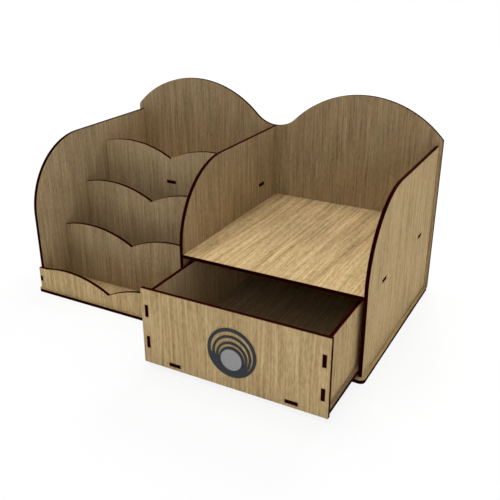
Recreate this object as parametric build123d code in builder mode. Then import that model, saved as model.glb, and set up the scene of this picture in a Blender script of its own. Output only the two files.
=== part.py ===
"""Makeup stand of flat plywood boards: stepped rows on the left, a shelf over a drawer on the right.

X runs to the right, Y to the back and Z up. The origin is under the middle of the stand.
"""
import os
from math import hypot, sqrt

from build123d import *

# Boards and their joints
sheet = 3.0  # thickness of every board
tab_length = 10.0
finger_length = 5.0  # the short fingers that hold the front lip
slot_play = 0.05  # a slot is this much larger than its tab, on each side

# Whole stand
stand_width = 320.0
stand_depth = 176.0
side_ledge = 3.0  # base and back reach past the walls
front_ledge = 1.5  # base reaches past the front lip
base_corner = 4.0
wall_top = 138.5
wall_curve = 64.0  # radius of the front top corner of a wall
wall_tab_spacing = 95.0  # between the tabs along the bottom of a wall and along the shelf
rear_tab_spacing = 70.0  # between the tabs up the back edge of a wall

# Back panel
arch_top = 175.2
arch_rise = 31.7  # from the outer corners to the top of an arch
valley_width = 34.4  # between the feet of the two arches
back_top_corner = 6.0
back_foot_corner = 3.0

# Stepped rows
row_pitch = 34.0  # from one divider to the next behind it
row_rise = 32.4  # from the notch of one board to the notch of the next
lip_cusp = 14.4  # height of the notch between the scallops of the front lip
scallop_rise = 12.2  # from the notch to the crests
crest_offset = 47.7  # from the notch to a crest
lip_shoulder = 10.0  # level stretch at each end of the front lip
raised_floor_lift = 84.3  # underside of the raised floor above the base
board_tab_spread = 96.7  # between the two tabs along the bottom of a board

# Drawer
bay_height = 64.0  # from the base to the shelf
drawer_gap = 0.3  # play on each side, above and below
drawer_rear_gap = 1.0
drawer_opening = 58.0  # how far the drawer stands out
drawer_side_drop = 4.1  # from the top of the drawer front to the top of its sides
drawer_side_inset = 3.0  # from the ends of the drawer front to its side boards
drawer_floor_lift = 2.5  # from the bottom of the drawer front to its bottom board
drawer_tab_spacing = 26.7

# Drawer pull: nested rings, each from its own centre below the first one
pull_height = 30.2  # centre of the largest ring above the bottom of the drawer front
pull_offset = 1.2  # and to the right of the middle of the drawer front
plate_thickness = 0.8
ring_radii = (19.8, 15.7, 12.7, 10.2)
ring_drops = (0.0, 1.7, 3.7, 5.3)
ring_widths = (2.4, 1.7, 1.7)
window_tilt = -17.0  # the windows end along one slanted line, in degrees
window_drop = 8.0  # how far that line lies below the centre of the largest ring
knob_radius = 8.5
knob_thickness = 0.6
knob_edge = 0.2
dimple_radius = 0.6
dimple_depth = 0.3
boss_radius = 2.5
boss_play = 0.1
knob_skin = 0.7  # metal left between the bore and the face of the knob
bore_spare = 0.4  # the bore is this much deeper than the screw
screw_radius = 1.5
screw_play = 0.1
screw_head_radius = 3.5
screw_head_height = 1.8
driver_radius = 1.0
driver_depth = 1.0

# Limits of the boards, left to right
half_width = stand_width / 2
left_wall = (-half_width + side_ledge, -half_width + side_ledge + sheet)
right_wall = (half_width - side_ledge - sheet, half_width - side_ledge)
centre_wall_limits = (-sheet / 2, sheet / 2)
rows = (left_wall[1], centre_wall_limits[0])
bay = (centre_wall_limits[1], right_wall[0])
rows_centre = sum(rows) / 2
bay_centre = sum(bay) / 2

# Limits of the boards, front to back
base_front = -stand_depth / 2
lip_front = base_front + front_ledge
wall_front = lip_front + sheet
back_rear = stand_depth / 2
back_front = back_rear - sheet
wall_centre = (wall_front + back_front) / 2

# Limits of the boards, bottom to top
base_board = (0, sheet)
shelf_board = (sheet + bay_height, sheet + bay_height + sheet)
raised_board = (sheet + raised_floor_lift, sheet + raised_floor_lift + sheet)
scallop_radius = (crest_offset**2 + scallop_rise**2) / (2 * scallop_rise)


def tab(centre, length=tab_length):
    """Limits of a tab along its edge."""
    return (centre - length / 2, centre + length / 2)


def slot(limits):
    """Limits of the slot around a tab or a board."""
    return (limits[0] - slot_play, limits[1] + slot_play)


def pair(centre, spacing):
    """Two places, one each side of a centre."""
    return (centre - spacing / 2, centre + spacing / 2)


def area(across, up, mode=Mode.ADD):
    """Rectangle of the open sketch between two pairs of limits."""
    with Locations((sum(across) / 2, sum(up) / 2)):
        Rectangle(across[1] - across[0], up[1] - up[0], mode=mode)


def cut_slot(across, up):
    """Slot of the open sketch for a tab with these limits."""
    area(slot(across), slot(up), mode=Mode.SUBTRACT)


def level_plane(z):
    """Plane of a lying board, which grows upwards from it."""
    return Plane.XY.offset(z)


def wall_plane(x):
    """Plane of a wall, which grows to the right from it."""
    return Plane.YZ.offset(x)


def cross_plane(y):
    """Plane of the rear face of a board that stands across, which grows to the front from it."""
    return Plane.XZ.offset(-y)


# Places of the tabs
wall_tabs = [tab(y) for y in pair(wall_centre, wall_tab_spacing)]
rear_tabs = [tab(z) for z in pair((sheet + wall_top) / 2, rear_tab_spacing)]
shelf_rear_tabs = [tab(x) for x in pair(bay_centre, board_tab_spread)]
board_foot_tabs = [tab(x) for x in pair(rows_centre, board_tab_spread)]
base_rear_tabs = board_foot_tabs + shelf_rear_tabs


def crest(distance, cusp):
    """Height of a scalloped edge at a distance from its notch."""
    return cusp + scallop_rise - scallop_radius + sqrt(scallop_radius**2 - (distance - crest_offset) ** 2)


def scalloped_outline(limits, cusp):
    """Board on the base with two scallops that meet in a notch at the middle."""
    centre, half = sum(limits) / 2, (limits[1] - limits[0]) / 2
    with BuildLine() as edge:
        for side in (-1, 1):
            end, middle = centre + side * half, centre + side * half / 2
            ThreePointArc((end, crest(half, cusp)), (middle, crest(half / 2, cusp)), (centre, cusp))
            Line((end, crest(half, cusp)), (end, sheet))
        Line((limits[0], sheet), (limits[1], sheet))
    make_face(edge.edges())


# Front lip with level ends and a notch at each end for the finger of a wall
lip_limits = (left_wall[0], centre_wall_limits[1])
lip_end_height = crest((lip_limits[1] - lip_limits[0]) / 2 - lip_shoulder, lip_cusp)
lip_finger = tab((sheet + lip_end_height) / 2, finger_length)

with BuildPart() as front_lip:
    with BuildSketch(cross_plane(wall_front)):
        scalloped_outline(lip_limits, lip_cusp)
        area((lip_limits[0], lip_limits[0] + lip_shoulder), (sheet, lip_end_height))
        area((lip_limits[1] - lip_shoulder, lip_limits[1]), (sheet, lip_end_height))
        for wall in (left_wall, centre_wall_limits):
            cut_slot(wall, lip_finger)
    extrude(amount=sheet)

# Scalloped dividers: each stands one pitch behind and one rise above the one before
divider_fronts = [wall_front + row_pitch * step for step in (1, 2, 3)]
divider_cusps = [lip_cusp + row_rise * step for step in (1, 2, 3)]

# Tabs of the dividers into the walls: those of the two higher ones stay below the shelf
low_divider_side = [tab((sheet + crest((rows[1] - rows[0]) / 2, divider_cusps[0])) / 2)]
high_divider_side = [tab(z) for z in pair(sheet + bay_height / 2, bay_height / 2)]
divider_side_tabs = [low_divider_side, high_divider_side, high_divider_side]


def divider_outline(step):
    """Scalloped divider with tabs into the walls beside it and into the base."""
    scalloped_outline(rows, divider_cusps[step])
    for limits in divider_side_tabs[step]:
        area((left_wall[0], centre_wall_limits[1]), limits)
    for limits in board_foot_tabs:
        area(limits, (0, sheet))


with BuildPart() as low_divider:
    with BuildSketch(cross_plane(divider_fronts[0] + sheet)):
        divider_outline(0)
    extrude(amount=sheet)

with BuildPart() as mid_divider:
    with BuildSketch(cross_plane(divider_fronts[1] + sheet)):
        divider_outline(1)
    extrude(amount=sheet)

with BuildPart() as tall_divider:
    with BuildSketch(cross_plane(divider_fronts[2] + sheet)):
        divider_outline(2)
        cut_slot(tab(rows_centre), raised_board)
    extrude(amount=sheet)

# Raised floor of the rear row: one tab on each edge
rear_row = (divider_fronts[2] + sheet, back_front)
rear_row_centre = sum(rear_row) / 2

with BuildPart() as raised_floor:
    with BuildSketch(level_plane(raised_board[0])):
        area(rows, rear_row)
        area(tab(rows_centre), (divider_fronts[2], back_rear))
        area((left_wall[0], centre_wall_limits[1]), tab(rear_row_centre))
    extrude(amount=sheet)

# Shelf over the drawer: two tabs into each wall and two into the back
with BuildPart() as shelf:
    with BuildSketch(level_plane(shelf_board[0])):
        area(bay, (wall_front, back_front))
        for limits in wall_tabs:
            area((centre_wall_limits[0], right_wall[1]), limits)
        for limits in shelf_rear_tabs:
            area(limits, (back_front - sheet, back_rear))
    extrude(amount=sheet)


def wall_outline(outline):
    """Wall with an upright front, a quarter-round corner and a level top, tabbed below and behind."""
    area((wall_front, back_front), (sheet, wall_top))
    fillet(outline.vertices().group_by(Axis.Y)[-1].sort_by(Axis.X)[0], wall_curve)
    for limits in wall_tabs:
        area(limits, (0, 2 * sheet))
    for limits in rear_tabs:
        area((back_front - sheet, back_rear), limits)


def cut_divider_slots():
    """Slots of a wall beside the rows, for the dividers and the raised floor."""
    for front, side_tabs in zip(divider_fronts, divider_side_tabs):
        for limits in side_tabs:
            cut_slot((front, front + sheet), limits)
    cut_slot(tab(rear_row_centre), raised_board)


with BuildPart() as left_side:
    with BuildSketch(wall_plane(left_wall[0])) as left_outline:
        wall_outline(left_outline)
        area((lip_front, wall_front + sheet), lip_finger)
        cut_divider_slots()
    extrude(amount=sheet)

with BuildPart() as centre_wall:
    with BuildSketch(wall_plane(centre_wall_limits[0])) as centre_outline:
        wall_outline(centre_outline)
        area((lip_front, wall_front + sheet), lip_finger)
        cut_divider_slots()
        for limits in wall_tabs:
            cut_slot(limits, shelf_board)
    extrude(amount=sheet)

with BuildPart() as right_side:
    with BuildSketch(wall_plane(right_wall[0])) as right_outline:
        wall_outline(right_outline)
        for limits in wall_tabs:
            cut_slot(limits, shelf_board)
    extrude(amount=sheet)

# Base: slots for the walls and dividers, tabs into the back
with BuildPart() as base_panel:
    with BuildSketch(level_plane(0)) as base_sketch:
        area((-half_width, half_width), (base_front, back_front))
        fillet(base_sketch.vertices().group_by(Axis.Y)[0], base_corner)
        for limits in base_rear_tabs:
            area(limits, (back_front - sheet, back_rear))
        for wall in (left_wall, centre_wall_limits, right_wall):
            for limits in wall_tabs:
                cut_slot(wall, limits)
        for front in divider_fronts:
            for limits in board_foot_tabs:
                cut_slot(limits, (front, front + sheet))
    extrude(amount=sheet)

# Back panel: two arches with a rounded valley between them, level with the top of the walls
arch_centre_x = (half_width + valley_width / 2) / 2
arch_half_span = half_width - arch_centre_x
arch_radius = (arch_half_span**2 + arch_rise**2) / (2 * arch_rise)
arch_centre_z = arch_top - arch_radius
valley_depth = wall_top - arch_centre_z
valley_radius = (arch_centre_x**2 + valley_depth**2 - arch_radius**2) / (2 * (arch_radius - valley_depth))
valley_centre_z = wall_top + valley_radius
arch_share = arch_radius / hypot(arch_centre_x, valley_centre_z - arch_centre_z)
arch_foot = (
    arch_centre_x * (1 - arch_share),
    arch_centre_z + (valley_centre_z - arch_centre_z) * arch_share,
)
arch_corner_z = arch_top - arch_rise

with BuildPart() as back_panel:
    with BuildSketch(cross_plane(back_rear)) as back_sketch:
        with BuildLine():
            for side in (-1, 1):
                Line((side * half_width, 0), (side * half_width, arch_corner_z))
                ThreePointArc(
                    (side * half_width, arch_corner_z),
                    (side * arch_centre_x, arch_top),
                    (side * arch_foot[0], arch_foot[1]),
                )
            ThreePointArc((-arch_foot[0], arch_foot[1]), (0, wall_top), arch_foot)
            Line((-half_width, 0), (half_width, 0))
        make_face()
        outer = back_sketch.vertices().group_by(Axis.X)
        for column in (outer[0], outer[-1]):
            fillet(column.sort_by(Axis.Y)[-1], back_top_corner)
        fillet(back_sketch.vertices().group_by(Axis.Y)[0], back_foot_corner)
        for limits in base_rear_tabs:
            cut_slot(limits, base_board)
        for limits in shelf_rear_tabs:
            cut_slot(limits, shelf_board)
        cut_slot(tab(rows_centre), raised_board)
        for wall in (left_wall, centre_wall_limits, right_wall):
            for limits in rear_tabs:
                cut_slot(wall, limits)
    extrude(amount=sheet)

# Limits of the drawer and its boards
drawer_width = (bay[0] + drawer_gap, bay[1] - drawer_gap)
drawer_bottom_z = sheet + drawer_gap
drawer_top_z = shelf_board[0] - drawer_gap
drawer_side_top_z = drawer_top_z - drawer_side_drop
drawer_floor = (drawer_bottom_z + drawer_floor_lift, drawer_bottom_z + drawer_floor_lift + sheet)
drawer_front_y = wall_front - drawer_opening
drawer_rear_y = back_front - drawer_rear_gap - drawer_opening
drawer_inside = (drawer_front_y + sheet, drawer_rear_y - sheet)
drawer_left_x = drawer_width[0] + drawer_side_inset
drawer_right_x = drawer_width[1] - drawer_side_inset - sheet
drawer_side_tabs = [tab(z) for z in pair((drawer_bottom_z + drawer_top_z) / 2, drawer_tab_spacing)]
drawer_floor_tabs = [tab(x) for x in pair(bay_centre, board_tab_spread)]
drawer_foot_tabs = [tab(y) for y in pair(sum(drawer_inside) / 2, wall_tab_spacing)]
pull_centre = (bay_centre + pull_offset, drawer_bottom_z + pull_height)
knob_centre = (pull_centre[0], pull_centre[1] - ring_drops[-1])
bore_depth = sheet + plate_thickness + knob_thickness - knob_skin
screw_length = bore_depth - bore_spare


def cut_drawer_slots():
    """Slots of the drawer front or back for the side boards and the bottom board."""
    for x in (drawer_left_x, drawer_right_x):
        for limits in drawer_side_tabs:
            cut_slot((x, x + sheet), limits)
    for limits in drawer_floor_tabs:
        cut_slot(limits, drawer_floor)


def drawer_side_outline():
    """Side board of the drawer on its bottom board, tabbed in front, behind and below."""
    area(drawer_inside, (drawer_floor[1], drawer_side_top_z))
    for limits in drawer_side_tabs:
        area((drawer_front_y, drawer_rear_y), limits)
    for limits in drawer_foot_tabs:
        area(limits, drawer_floor)


with BuildPart() as drawer_front:
    with BuildSketch(cross_plane(drawer_front_y + sheet)):
        area(drawer_width, (drawer_bottom_z, drawer_top_z))
        cut_drawer_slots()
        with Locations(knob_centre):
            Circle(boss_radius + boss_play, mode=Mode.SUBTRACT)
    extrude(amount=sheet)

with BuildPart() as drawer_back:
    with BuildSketch(cross_plane(drawer_rear_y)):
        area(drawer_width, (drawer_bottom_z, drawer_side_top_z))
        cut_drawer_slots()
    extrude(amount=sheet)

with BuildPart() as drawer_left:
    with BuildSketch(wall_plane(drawer_left_x)):
        drawer_side_outline()
    extrude(amount=sheet)

with BuildPart() as drawer_right:
    with BuildSketch(wall_plane(drawer_right_x)):
        drawer_side_outline()
    extrude(amount=sheet)

with BuildPart() as drawer_bottom:
    with BuildSketch(level_plane(drawer_floor[0])):
        area(drawer_width, drawer_inside)
        for limits in drawer_floor_tabs:
            area(limits, (drawer_front_y, drawer_rear_y))
        for x in (drawer_left_x, drawer_right_x):
            for limits in drawer_foot_tabs:
                cut_slot((x, x + sheet), limits)
    extrude(amount=sheet)

# Pull plate: the gaps between the nested rings are open down to one slanted line
plate_plane = cross_plane(drawer_front_y)

with BuildPart() as pull_plate:
    with BuildSketch(plate_plane):
        with Locations(pull_centre):
            Circle(ring_radii[0])
        with Locations(knob_centre):
            Circle(boss_radius + boss_play, mode=Mode.SUBTRACT)
    extrude(amount=plate_thickness)
    with BuildSketch(plate_plane):
        for ring, width in enumerate(ring_widths):
            with Locations((pull_centre[0], pull_centre[1] - ring_drops[ring])):
                Circle(ring_radii[ring] - width)
            with Locations((pull_centre[0], pull_centre[1] - ring_drops[ring + 1])):
                Circle(ring_radii[ring + 1], mode=Mode.SUBTRACT)
        with Locations(Location((*pull_centre, 0), (0, 0, window_tilt))):
            with Locations((0, ring_radii[0] - window_drop)):
                Rectangle(2 * ring_radii[0], 2 * ring_radii[0], mode=Mode.INTERSECT)
    extrude(amount=plate_thickness, mode=Mode.SUBTRACT)

# Pull knob: a flat button on the plate, with a bored boss through plate and drawer front
knob_plane = cross_plane(drawer_front_y - plate_thickness)

with BuildPart() as pull_knob:
    with BuildSketch(knob_plane):
        with Locations(knob_centre):
            Circle(knob_radius)
    extrude(amount=knob_thickness)
    chamfer(pull_knob.faces().sort_by(Axis.Y)[0].edges(), knob_edge)
    with BuildSketch(knob_plane):
        with Locations(knob_centre):
            Circle(boss_radius)
    extrude(amount=-(plate_thickness + sheet))
    with BuildSketch(cross_plane(drawer_front_y + sheet)):
        with Locations(knob_centre):
            Circle(screw_radius + screw_play)
    extrude(amount=bore_depth, mode=Mode.SUBTRACT)
    with BuildSketch(cross_plane(drawer_front_y - plate_thickness - knob_thickness)):
        with Locations(knob_centre):
            Circle(dimple_radius)
    extrude(amount=-dimple_depth, mode=Mode.SUBTRACT)

# Pull screw: its head bears on the inner face of the drawer front
screw_plane = cross_plane(drawer_front_y + sheet)

with BuildPart() as pull_screw:
    with BuildSketch(screw_plane):
        with Locations(knob_centre):
            Circle(screw_radius)
    extrude(amount=screw_length)
    with BuildSketch(screw_plane):
        with Locations(knob_centre):
            Circle(screw_head_radius)
    extrude(amount=-screw_head_height)
    with BuildSketch(cross_plane(drawer_front_y + sheet + screw_head_height)):
        with Locations(knob_centre):
            RegularPolygon(driver_radius, 6)
    extrude(amount=driver_depth, mode=Mode.SUBTRACT)

# Files, one for each piece
pieces = {
    "base_panel": base_panel,
    "back_panel": back_panel,
    "left_side": left_side,
    "centre_wall": centre_wall,
    "right_side": right_side,
    "front_lip": front_lip,
    "low_divider": low_divider,
    "mid_divider": mid_divider,
    "tall_divider": tall_divider,
    "raised_floor": raised_floor,
    "shelf": shelf,
    "drawer_front": drawer_front,
    "drawer_left": drawer_left,
    "drawer_right": drawer_right,
    "drawer_back": drawer_back,
    "drawer_bottom": drawer_bottom,
    "pull_plate": pull_plate,
    "pull_knob": pull_knob,
    "pull_screw": pull_screw,
}

os.makedirs("parts", exist_ok=True)
for name, piece in pieces.items():
    piece.part.label = name
    export_step(piece.part, f"parts/{name}.step")
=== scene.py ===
"""Looks of the plywood makeup stand: boards with burnt edges, and a dark pull with a grey knob."""
from math import radians

import bpy
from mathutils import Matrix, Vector


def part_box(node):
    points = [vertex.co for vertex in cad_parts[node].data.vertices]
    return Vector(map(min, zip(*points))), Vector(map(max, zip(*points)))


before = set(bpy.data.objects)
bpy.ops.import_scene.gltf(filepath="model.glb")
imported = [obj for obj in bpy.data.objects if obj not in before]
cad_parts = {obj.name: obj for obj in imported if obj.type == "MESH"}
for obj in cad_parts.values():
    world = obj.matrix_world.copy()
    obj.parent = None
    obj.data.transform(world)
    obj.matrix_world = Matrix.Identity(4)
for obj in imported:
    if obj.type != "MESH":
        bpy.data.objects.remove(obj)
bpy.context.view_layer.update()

scene = bpy.context.scene

MM = 0.001
WHITE = (1.0, 1.0, 1.0, 1.0)


# Camera at the photograph's viewpoint, with angles in degrees, lens and sensor in millimetres
CAMERA_PLACE = (288.13 * MM, -503.78 * MM, 300.51 * MM)
CAMERA_PITCH = 24.10  # down from the horizon
CAMERA_YAW = 28.23  # to the left, from looking straight back
CAMERA_LENS = 49.89
SENSOR_WIDTH = 36.0
CLIP_START = 10 * MM

camera_data = bpy.data.cameras.new("camera")
camera_data.lens = CAMERA_LENS
camera_data.sensor_fit = "HORIZONTAL"
camera_data.sensor_width = SENSOR_WIDTH
camera_data.clip_start = CLIP_START
camera = bpy.data.objects.new("camera", camera_data)
camera.location = CAMERA_PLACE
camera.rotation_euler = (radians(90 - CAMERA_PITCH), 0, radians(CAMERA_YAW))
scene.collection.objects.link(camera)
scene.camera = camera
scene.view_settings.view_transform = "Standard"


# Sockets of the node that mixes colours, by number because several have the same name
MIX_SHARE = 0
MIX_FIRST = 6
MIX_SECOND = 7
MIX_RESULT = 2


class Shader:
    """Nodes of a material or of the world. An input is a number, a colour or another node's output."""

    def __init__(self, owner, result):
        owner.use_nodes = True
        self.owner = owner
        self.tree = owner.node_tree
        self.tree.nodes.clear()
        self.result = self.node(result)

    def node(self, kind, inputs=(), **settings):
        """Adds a node with settings, such as its operation, and inputs, each a socket and its value."""
        new = self.tree.nodes.new("ShaderNode" + kind)
        for key, value in settings.items():
            setattr(new, key, value)
        for socket, value in dict(inputs).items():
            if isinstance(value, bpy.types.NodeSocket):
                self.tree.links.new(value, new.inputs[socket])
            else:
                new.inputs[socket].default_value = value
        return new

    def math(self, operation, *values):
        return self.node("Math", enumerate(values), operation=operation).outputs[0]

    def noise(self, vector, detail, scale=1.0):
        inputs = {"Vector": vector, "Scale": scale, "Detail": detail}
        return self.node("TexNoise", inputs).outputs["Fac"]

    def remap(self, value, low, high, to_low=0.0, to_high=1.0):
        """Takes low to to_low and high to to_high, and keeps what lies beyond at these ends."""
        inputs = {
            "Value": value,
            "From Min": low,
            "From Max": high,
            "To Min": to_low,
            "To Max": to_high,
        }
        return self.node("MapRange", inputs, clamp=True).outputs[0]

    def mix(self, share, first, second):
        """Colour between first and second."""
        inputs = {MIX_SHARE: share, MIX_FIRST: first, MIX_SECOND: second}
        return self.node("Mix", inputs, data_type="RGBA").outputs[MIX_RESULT]

    def show(self, surface):
        """Makes a node the result of the tree."""
        self.tree.links.new(surface.outputs[0], self.result.inputs["Surface"])


def material_shader(name):
    """Shader of a new material."""
    return Shader(bpy.data.materials.new(name), "OutputMaterial")


def assign(node, material):
    """Gives every slot of a CAD node this material."""
    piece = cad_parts[node]
    if not piece.material_slots:
        piece.data.materials.append(None)
    for slot in piece.material_slots:
        slot.link = "OBJECT"
        slot.material = material


def srgb(red, green, blue):
    """Colour of a material from the 0 to 255 values that it shows as, by the sRGB curve."""
    channels = []
    for value in (red, green, blue):
        share = value / 255
        channels.append(share / 12.92 if share <= 0.04045 else ((share + 0.055) / 1.055) ** 2.4)
    return (*channels, 1.0)


# Noises of the grain: width and length of a cell in millimetres, shift from board to board, detail
GRAIN = {
    "sway": (30, 60, 9.1, 1),
    "bands": (11, 150, 11.3, 2),
    "streaks": (3.0, 60, 7.7, 2),
    "fibres": (1.1, 40, 3.9, 3),
    "flecks": (0.9, 4, 2.3, 2),
    "tint": (10, 60, 5.1, 1),
}
NOISE_MEAN = 0.5
SWAY = 3.0  # millimetres over which the grain wanders from side to side

# How much each noise lightens and darkens the wood
GRAIN_WEIGHTS = {"bands": 0.22, "streaks": 0.6, "fibres": 1.0, "flecks": 0.75}

# Colours of the wood, from the darkest shade, 0, over the middle one to the lightest, 1
OAK_DARK = srgb(118, 94, 58)
OAK_MIDDLE = srgb(180, 154, 111)
OAK_LIGHT = srgb(222, 195, 148)
MIDDLE_SHADE = 0.5

# The cores of the lightest flecks are darker again, between these values of their noise
CORE_RANGE = (0.14, 0.26)
CORE_SHADE = 0.2

# Slight change of hue: high values of the tint are greener, low ones pinker
OAK_GREEN = srgb(155, 147, 100)
OAK_PINK = srgb(186, 146, 113)
GREEN_RANGE = (0.02, 0.25)
PINK_RANGE = (-0.25, -0.02)
GREEN_SHARE = 0.22
PINK_SHARE = 0.14

# Burnt cut edges, with a darker middle ply
CHAR_DARK = srgb(20, 0, 0)
CHAR_RED = srgb(46, 3, 0)
MIDDLE_PLY = 1.0  # its thickness in millimetres
PLY_BLUR = 0.15  # millimetres over which its colour changes to that of the outer plies
PLY_WAVES = 0.4  # millimetres over which the fibres shift that change
CUT_FACING = 0.5  # a face is cut where its normal has less than this share through the board

# Fringe of soot on the faces next to a cut edge
SOOT = srgb(60, 24, 12)
SOOT_REACH = 0.6 * MM
SOOT_SHARE = 0.4
SOOT_OPENNESS = 0.5  # below this share of free rays inside the board the soot is full
SOOT_SAMPLES = 8

# Feel of the wood: the light bump of its grain, and its roughness from dark to light streaks
RELIEF_STRENGTH = 0.25
RELIEF_HEIGHT = 0.15 * MM
STREAK_RANGE = (-0.2, 0.2)
WOOD_ROUGHNESS = (0.62, 0.75)
WOOD_SHINE = 0.02

AXES = "XYZ"


def grain_noises(shader, across, along, through, figure, seed):
    """Noises of the grain, as distance from their mean, from a place in the board in millimetres."""

    def grain_noise(name, sideways):
        width, length, shift, detail = GRAIN[name]
        inputs = {
            0: shader.math("MULTIPLY_ADD", sideways, 1 / (width * figure), shift * seed),
            1: shader.math("MULTIPLY", along, 1 / (length * figure)),
            2: shader.math("MULTIPLY_ADD", through, 1 / width, seed),
        }
        vector = shader.node("CombineXYZ", inputs).outputs[0]
        return shader.math("SUBTRACT", shader.noise(vector, detail), NOISE_MEAN)

    swayed = shader.math("MULTIPLY_ADD", grain_noise("sway", across), SWAY * figure, across)
    noises = {name: grain_noise(name, swayed) for name in GRAIN_WEIGHTS}
    noises["tint"] = grain_noise("tint", across)
    return noises


def grain_colour_with_painted_light(shader, noises, painted_lightness, contrast, painted_richness):
    """Colour of a board's faces: the grain, shifted lighter or darker as painted light and shade. A
    lower richness paints the board duller and a little darker, as painted shade.
    """
    # Painted light and shade: the shift makes lit outer boards lighter and shaded inner boards darker
    shade = MIDDLE_SHADE + painted_lightness
    for name, weight in GRAIN_WEIGHTS.items():
        shade = shader.math("MULTIPLY_ADD", noises[name], weight * contrast, shade)
    cores = shader.remap(noises["flecks"], *CORE_RANGE, 0, CORE_SHADE * contrast)
    shade = shader.math("SUBTRACT", shade, cores)
    colour = shader.mix(shader.remap(shade, 0, MIDDLE_SHADE), OAK_DARK, OAK_MIDDLE)
    colour = shader.mix(shader.remap(shade, MIDDLE_SHADE, 1), colour, OAK_LIGHT)
    green = shader.remap(noises["tint"], *GREEN_RANGE, 0, GREEN_SHARE)
    pink = shader.remap(noises["tint"], *PINK_RANGE, PINK_SHARE, 0)
    colour = shader.mix(green, colour, OAK_GREEN)
    colour = shader.mix(pink, colour, OAK_PINK)
    # Painted shade: a lower richness makes the colour duller and darker, as on the boards inside the
    # stand
    inputs = {"Saturation": painted_richness, "Value": (1 + painted_richness) / 2, "Color": colour}
    return shader.node("HueSaturation", inputs).outputs[0]


def char_colour(shader, depth, fibres):
    """Colour of a burnt cut edge, from the distance to the board's middle in millimetres."""
    wavy_depth = shader.math("MULTIPLY_ADD", fibres, PLY_WAVES, depth)
    outer = shader.remap(wavy_depth, MIDDLE_PLY / 2, MIDDLE_PLY / 2 + PLY_BLUR)
    return shader.mix(outer, CHAR_DARK, CHAR_RED)


def soot_share(shader):
    """Share of soot, from how much of the space inside the board is closed by its cut edge."""
    inputs = {"Distance": SOOT_REACH}
    inner = shader.node("AmbientOcclusion", inputs, inside=True, only_local=True, samples=SOOT_SAMPLES)
    return shader.remap(inner.outputs["AO"], SOOT_OPENNESS, 1, SOOT_SHARE, 0)


def plywood(node, along, through, figure, painted_light, seed):
    """Plywood of one board. along is the axis of its fibres, through the axis of its thickness."""
    shader = material_shader("plywood_" + node)
    across = next(axis for axis in AXES if axis not in (along, through))
    coordinates = shader.node("TexCoord").outputs
    metres = shader.node("SeparateXYZ", {0: coordinates["Object"]}).outputs
    facing = shader.node("SeparateXYZ", {0: coordinates["Normal"]}).outputs
    place = {axis: shader.math("MULTIPLY", metres[axis], 1 / MM) for axis in AXES}
    noises = grain_noises(shader, place[across], place[along], place[through], figure, seed)

    low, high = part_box(node)
    axis = AXES.index(through)
    middle = (low[axis] + high[axis]) / 2 / MM
    depth = shader.math("ABSOLUTE", shader.math("SUBTRACT", place[through], middle))
    cut = shader.math("LESS_THAN", shader.math("ABSOLUTE", facing[through]), CUT_FACING)

    colour = grain_colour_with_painted_light(shader, noises, *painted_light)
    colour = shader.mix(soot_share(shader), colour, SOOT)
    colour = shader.mix(cut, colour, char_colour(shader, depth, noises["fibres"]))
    relief = shader.math("ADD", noises["streaks"], noises["fibres"])
    bump = shader.node("Bump", {
        "Height": relief,
        "Strength": RELIEF_STRENGTH,
        "Distance": RELIEF_HEIGHT,
    })
    roughness = shader.remap(noises["streaks"], *STREAK_RANGE, *WOOD_ROUGHNESS)
    shader.show(shader.node("BsdfPrincipled", {
        "Base Color": colour,
        "Roughness": shader.math("MAXIMUM", roughness, cut),
        "Specular IOR Level": WOOD_SHINE,
        "Normal": bump.outputs[0],
    }))
    return shader.owner


# Boards by the way they lie or stand
LYING = ("base_panel", "raised_floor", "shelf", "drawer_bottom")
SIDEWAYS = ("left_side", "centre_wall", "right_side", "drawer_left", "drawer_right")
FRONTS = ("front_lip", "drawer_front")
FACING = ("back_panel", "low_divider", "mid_divider", "tall_divider", "drawer_back")

# For each way the axis of the fibres, the axis of the thickness and the scale of the grain's figure
BOARDS = (
    (LYING, "Y", "Z", 1.5),
    (SIDEWAYS, "Z", "X", 1.0),
    (FRONTS, "Z", "Y", 1.3),
    (FACING, "Z", "Y", 1.0),
)

# Painted light and shade of each board other than the plain one: how much lighter, contrast of the
# grain, richness of the colour
# Lit outer boards are painted lighter; shaded inner boards are painted darker and duller, with softer
# grain
NO_PAINTED_LIGHT = (0.0, 1.0, 1.0)
PAINTED_LIGHT_AND_SHADE = {
    "shelf": (0.0, 1.1, 1.0),
    "drawer_front": (0.08, 0.95, 1.0),
    "front_lip": (0.06, 1.0, 1.0),
    "right_side": (0.11, 1.0, 1.0),
    "drawer_right": (0.04, 1.0, 1.0),
    "low_divider": (-0.15, 0.8, 0.9),
    "mid_divider": (-0.09, 0.8, 0.9),
    "tall_divider": (0.0, 0.8, 0.9),
    "left_side": (-0.02, 0.9, 0.9),
    "centre_wall": (-0.09, 0.85, 0.9),
    "back_panel": (-0.16, 0.72, 0.9),
    "drawer_left": (0.0, 0.8, 0.85),
    "drawer_back": (-0.20, 0.7, 0.85),
    "drawer_bottom": (-0.22, 0.7, 0.85),
}

seed = 0
for boards, along, through, figure in BOARDS:
    for node in boards:
        seed += 1
        # Painted light and shade of this board, with the contrast of its grain
        painted_light = PAINTED_LIGHT_AND_SHADE.get(node, NO_PAINTED_LIGHT)
        assign(node, plywood(node, along, through, figure, painted_light, seed))


# Fine speckle of the metal pieces
SPECKLE_SCALE = 2500  # cells per metre
SPECKLE_DETAIL = 3
SPECKLE_COLOUR = srgb(25, 28, 34)
SPECKLE_RANGE = (0.35, 0.65)
SPECKLE_SHARE = 0.25
SPECKLE_STRENGTH = 0.15
SPECKLE_HEIGHT = 0.03 * MM
ROUGHNESS_RANGE = (0.3, 0.7)
ROUGHNESS_SPREAD = 0.05

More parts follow.
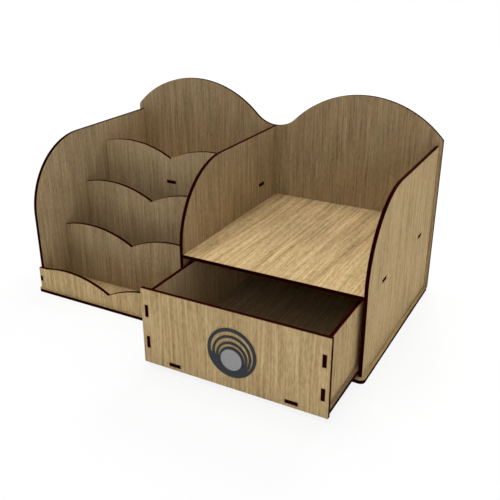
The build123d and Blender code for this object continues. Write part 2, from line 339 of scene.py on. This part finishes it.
# Metal pieces: name of the finish, colour, how metallic, roughness and strength of the shine
METALS = {
    "pull_plate": ("dark_plate", srgb(57, 60, 64), 0.0, 0.5, 0.1),
    "pull_knob": ("grey_knob", srgb(158, 158, 159), 0.3, 0.45, 0.2),
    "pull_screw": ("steel_screw", srgb(170, 170, 172), 1.0, 0.35, 0.5),
}


def metal(name, colour, metallic, roughness, shine):
    """Metal finish with a fine speckle in its colour, roughness and bump."""
    shader = material_shader(name)
    place = shader.node("TexCoord").outputs["Object"]
    speckle = shader.noise(place, SPECKLE_DETAIL, SPECKLE_SCALE)
    dark_share = shader.remap(speckle, *SPECKLE_RANGE, 0, SPECKLE_SHARE)
    smoothest = roughness - ROUGHNESS_SPREAD
    roughest = roughness + ROUGHNESS_SPREAD
    bump = shader.node("Bump", {
        "Height": speckle,
        "Strength": SPECKLE_STRENGTH,
        "Distance": SPECKLE_HEIGHT,
    })
    shader.show(shader.node("BsdfPrincipled", {
        "Base Color": shader.mix(dark_share, colour, SPECKLE_COLOUR),
        "Metallic": metallic,
        "Specular IOR Level": shine,
        "Roughness": shader.remap(speckle, *ROUGHNESS_RANGE, smoothest, roughest),
        "Normal": bump.outputs[0],
    }))
    return shader.owner


for node, finish in METALS.items():
    assign(node, metal(*finish))


# Floor, which the camera sees white but for the object's shadow
FLOOR_SIZE = 6.0
FLOOR_COLOUR = srgb(249, 249, 249)
FLOOR_FAINT = (0.12, 0.12, 0.12, 1.0)  # share of the floor's own light and shadow that the camera sees
FLOOR_GLOW = 0.86  # near the stand; it grows to 1 over the distances below
GLOW_NEAR = 0.5
GLOW_FAR = 1.2

half = FLOOR_SIZE / 2
floor_corners = [(-half, -half, 0), (half, -half, 0), (half, half, 0), (-half, half, 0)]
floor_mesh = bpy.data.meshes.new("floor")
floor_mesh.from_pydata(floor_corners, [], [(0, 1, 2, 3)])
floor = bpy.data.objects.new("floor", floor_mesh)
scene.collection.objects.link(floor)


def seen_rays(shader):
    """1 for rays that show the background: straight to the camera, mirrored or let through."""
    rays = shader.node("LightPath").outputs
    seen = rays["Is Camera Ray"]
    for name in ("Is Glossy Ray", "Is Transmission Ray"):
        seen = shader.math("MAXIMUM", seen, rays[name])
    return seen


floor_shader = material_shader("floor")
lit = floor_shader.node("BsdfDiffuse", {"Color": FLOOR_COLOUR}).outputs[0]
faint = floor_shader.node("BsdfDiffuse", {"Color": FLOOR_FAINT}).outputs[0]
floor_place = floor_shader.node("TexCoord").outputs["Object"]
away = floor_shader.node("VectorMath", {0: floor_place}, operation="LENGTH").outputs["Value"]
glow_strength = floor_shader.remap(away, GLOW_NEAR, GLOW_FAR, FLOOR_GLOW, 1)
glow = floor_shader.node("Emission", {"Color": WHITE, "Strength": glow_strength}).outputs[0]
shown = floor_shader.node("AddShader", {0: faint, 1: glow}).outputs[0]
floor_shader.show(floor_shader.node("MixShader", {0: seen_rays(floor_shader), 1: lit, 2: shown}))
floor_mesh.materials.append(floor_shader.owner)


# World, white where the camera sees it and dim as a light
WORLD_LIGHT = 0.08

scene.world = bpy.data.worlds.new("world")
world_shader = Shader(scene.world, "OutputWorld")
world_strength = world_shader.remap(seen_rays(world_shader), 0, 1, WORLD_LIGHT, 1)
world_shader.show(world_shader.node("Background", {"Color": WHITE, "Strength": world_strength}))


# Soft lamps from above, behind and high in front, fainter ones from low in front and at the side
LIT_PLACE = Vector((0, 0, 0.05))  # low in the middle of the stand
LAMPS = {
    # name: (place, size in metres, power in watts)
    "overhead_box": ((0, 0, 1.25), 0.8, 8.7),
    "front_high_box": ((0.2, -0.95, 0.95), 0.8, 2.6),
    "left_high_box": ((-0.51, 0, 1.14), 0.8, 3.0),
    "back_box": ((0, 0.95, 0.79), 0.6, 11.9),
    "right_box": ((0.97, 0, 0.29), 0.4, 0.8),
    "right_front_box": ((0.45, -0.54, 0.20), 0.3, 0.5),
    "left_front_box": ((-0.39, -0.56, 0.20), 0.3, 0.42),
}


def softbox(name, place, size, power):
    """Square area lamp that points at the lit place."""
    data = bpy.data.lights.new(name, "AREA")
    data.size = size
    data.energy = power
    lamp = bpy.data.objects.new(name, data)
    lamp.location = place
    lamp.rotation_euler = (LIT_PLACE - Vector(place)).to_track_quat("-Z", "Y").to_euler()
    scene.collection.objects.link(lamp)


for name, settings in LAMPS.items():
    softbox(name, *settings)
